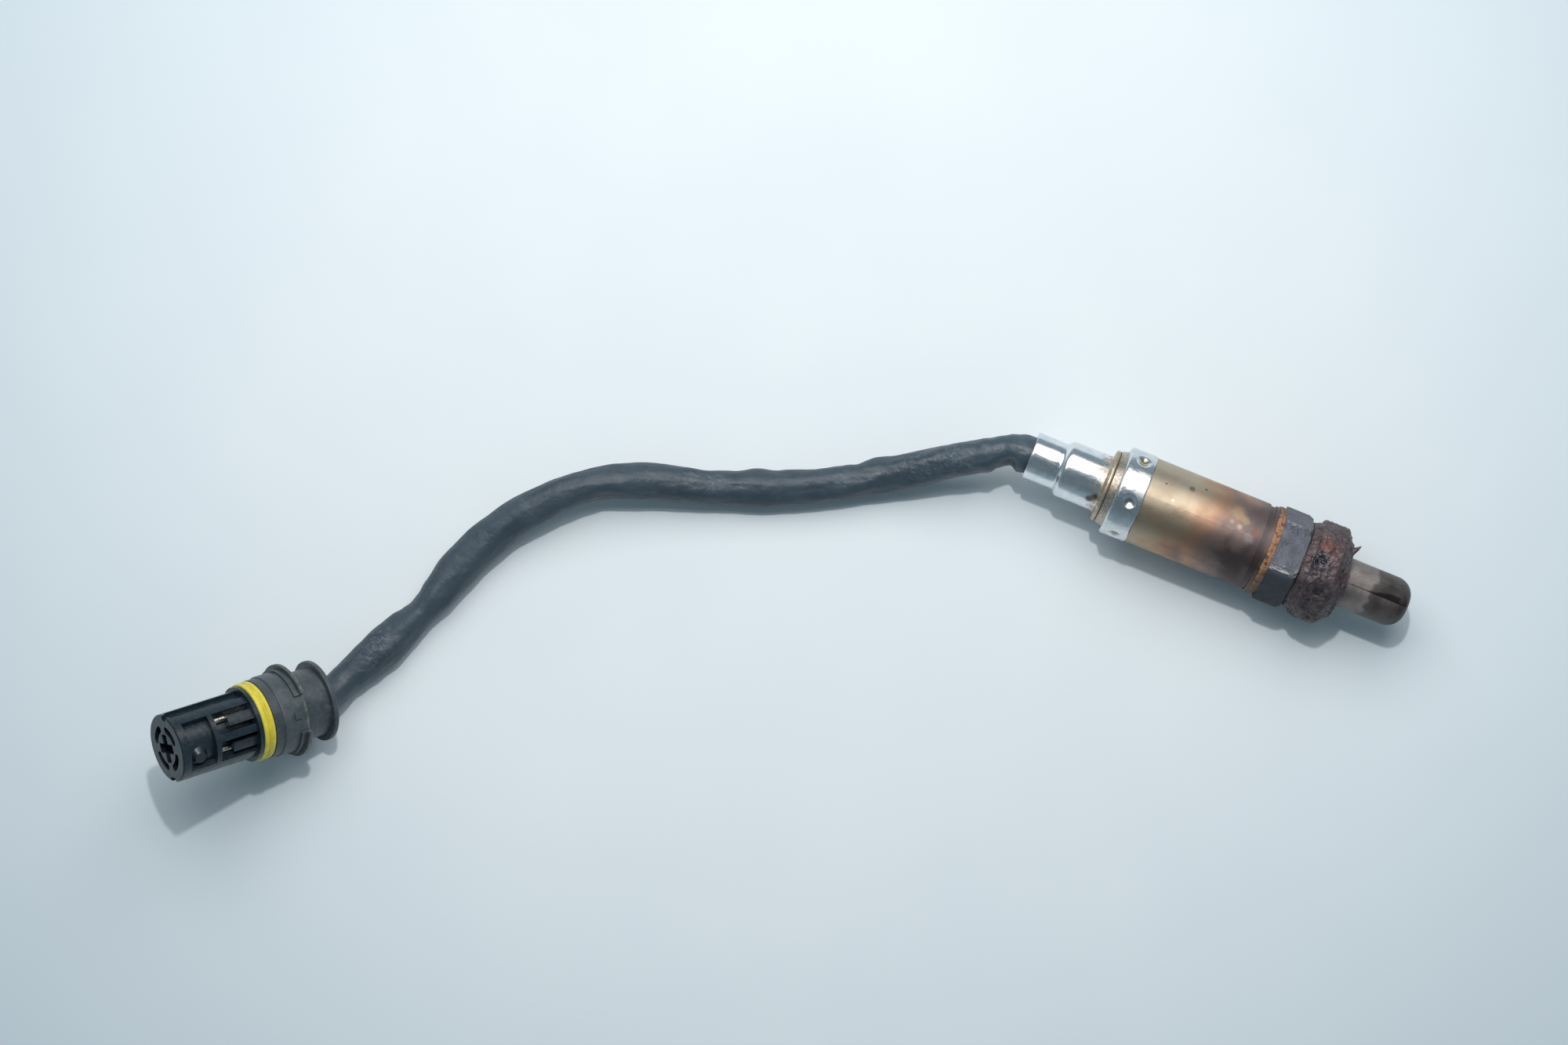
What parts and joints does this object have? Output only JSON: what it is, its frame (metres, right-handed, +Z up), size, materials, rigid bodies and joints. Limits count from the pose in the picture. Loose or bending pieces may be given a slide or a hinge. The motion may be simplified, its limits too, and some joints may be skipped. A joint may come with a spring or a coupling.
{
  "type": "oxygen sensor",
  "caption": "Heated oxygen sensor with a hexagon body, louvred protection tube, stepped steel sleeves, sleeved harness and round plug connector.",
  "frame": {"origin": "on the surface that it lies on, under the middle of the sensor's length, harness apart", "axes": "+X along the sensor's axis towards the protection tube's tip, +Z up"},
  "size_m": [0.2774, 0.17, 0.0387],
  "materials": {
    "hexagon_steel": "dark blue-grey forged steel with rubbed corners",
    "rusted_boss": "deep brown and red rust, heavily pitted",
    "tube_steel": "brown-grey heat-dulled steel with small rust spots",
    "sleeve_steel": "steel with gold, copper and purple-brown heat tint",
    "bright_steel": "bright drawn stainless steel with rust specks",
    "washer_steel": "steel with a film of orange-brown rust",
    "inner_steel": "clean turned or stamped steel",
    "zirconia": "fired white ceramic",
    "heater_ceramic": "fired pale grey ceramic",
    "packing_powder": "pressed mineral powder",
    "lead_jacket": "smooth black wire insulation",
    "grommet_rubber": "matte black rubber",
    "sleeve_rubber": "matte charcoal heat-shrink tube with pale scuffs",
    "coupling_plastic": "dark grey moulded plastic, dusty",
    "carrier_plastic": "glossy blue-black moulded plastic",
    "spacer_plastic": "grey moulded plastic",
    "seal_rubber": "yellow silicone rubber",
    "terminal_metal": "tin-plated copper alloy"
  },
  "bodies": {
    "root": {"housing": "hexagon_steel", "sealing_gasket": "tube_steel", "weld_boss": "rusted_boss", "protection_tube": "tube_steel", "sensing_element": "zirconia", "seal_ring": "inner_steel", "powder_packing": "packing_powder", "insulating_bush": "heater_ceramic", "retaining_ring": "inner_steel", "heater_rod": "heater_ceramic", "contact_holder": "heater_ceramic", "disc_spring": "inner_steel", "lower_sleeve": "sleeve_steel", "crimp_ring": "bright_steel", "clamp_washer": "washer_steel", "upper_sleeve": "bright_steel", "grommet": "grommet_rubber", "lead_heater_a": "lead_jacket", "lead_signal": "lead_jacket", "lead_heater_b": "lead_jacket", "lead_ground": "lead_jacket", "contact_heater_a": "inner_steel", "contact_signal": "inner_steel", "contact_heater_b": "inner_steel", "contact_ground": "inner_steel", "outer_contact": "inner_steel", "inner_contact": "inner_steel", "connector_cap": "coupling_plastic", "wire_seal": "seal_rubber", "connector_body": "coupling_plastic", "spacer_ring": "spacer_plastic", "connector_seal": "seal_rubber", "contact_carrier": "carrier_plastic", "terminal_1": "terminal_metal", "terminal_2": "terminal_metal", "terminal_3": "terminal_metal", "terminal_4": "terminal_metal", "inner_lead_1": "lead_jacket", "inner_lead_2": "lead_jacket", "inner_lead_3": "lead_jacket", "inner_lead_4": "lead_jacket", "harness_sleeve": "sleeve_rubber"}
  },
  "joints": []
}
